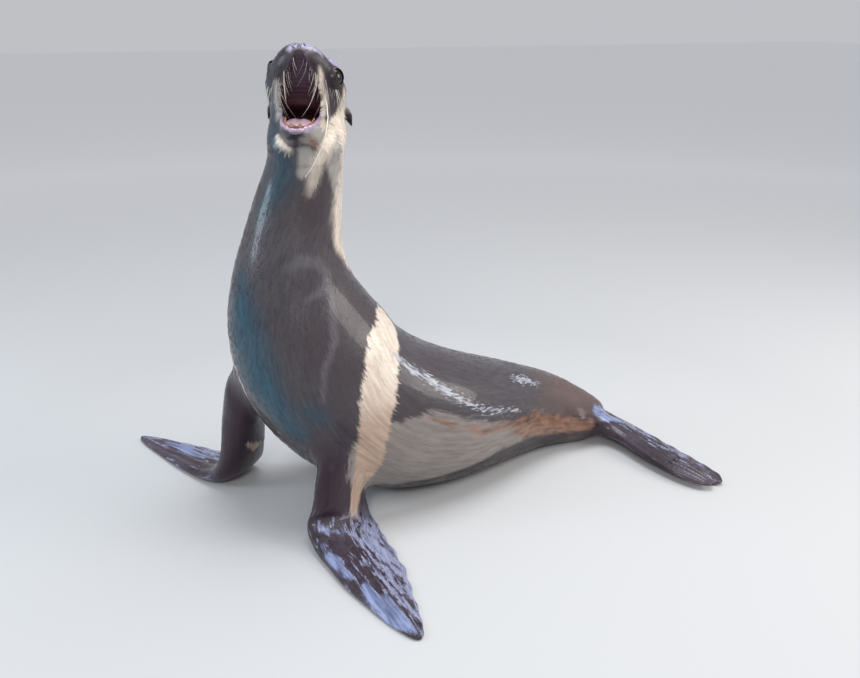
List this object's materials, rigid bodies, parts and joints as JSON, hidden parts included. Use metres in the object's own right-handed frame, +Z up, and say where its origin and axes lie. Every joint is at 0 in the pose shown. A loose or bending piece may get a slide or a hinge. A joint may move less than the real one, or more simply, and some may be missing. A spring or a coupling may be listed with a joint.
{
  "type": "sea lion",
  "caption": "Life-size still sea lion propped on its fore flippers, neck upright, head thrown back with the mouth wide open, hind flippers together behind.",
  "frame": {"origin": "centre of the bounding box, on the floor that the animal rests on", "axes": "+X back along the body, so that the head is towards -X; the animal's left side is towards -Y; +Z up"},
  "size_m": [1.2827, 1.0429, 1.0147],
  "materials": {
    "coat": "wet short fur, charcoal brown, glossy",
    "belly": "wet short fur, beige-grey to tan, glossy",
    "flipper_skin": "bare wrinkled skin, near-black, wet and glossy",
    "tongue": "moist pink flesh",
    "eye": "near-black, polished and wet"
  },
  "bodies": {
    "root": {"hips": "coat", "abdomen": "belly", "chest": "coat", "neck": "coat", "head": "coat", "lower_jaw": "coat", "ear_left": "flipper_skin", "ear_right": "flipper_skin", "eye_left": "eye", "eye_right": "eye", "tongue": "tongue", "fore_limb_left": "flipper_skin", "fore_limb_right": "flipper_skin", "fore_flipper_left": "flipper_skin", "fore_flipper_right": "flipper_skin", "hind_leg_left": "flipper_skin", "hind_leg_right": "flipper_skin", "hind_flipper_left": "flipper_skin", "hind_flipper_right": "flipper_skin", "tail": "flipper_skin"}
  },
  "joints": []
}
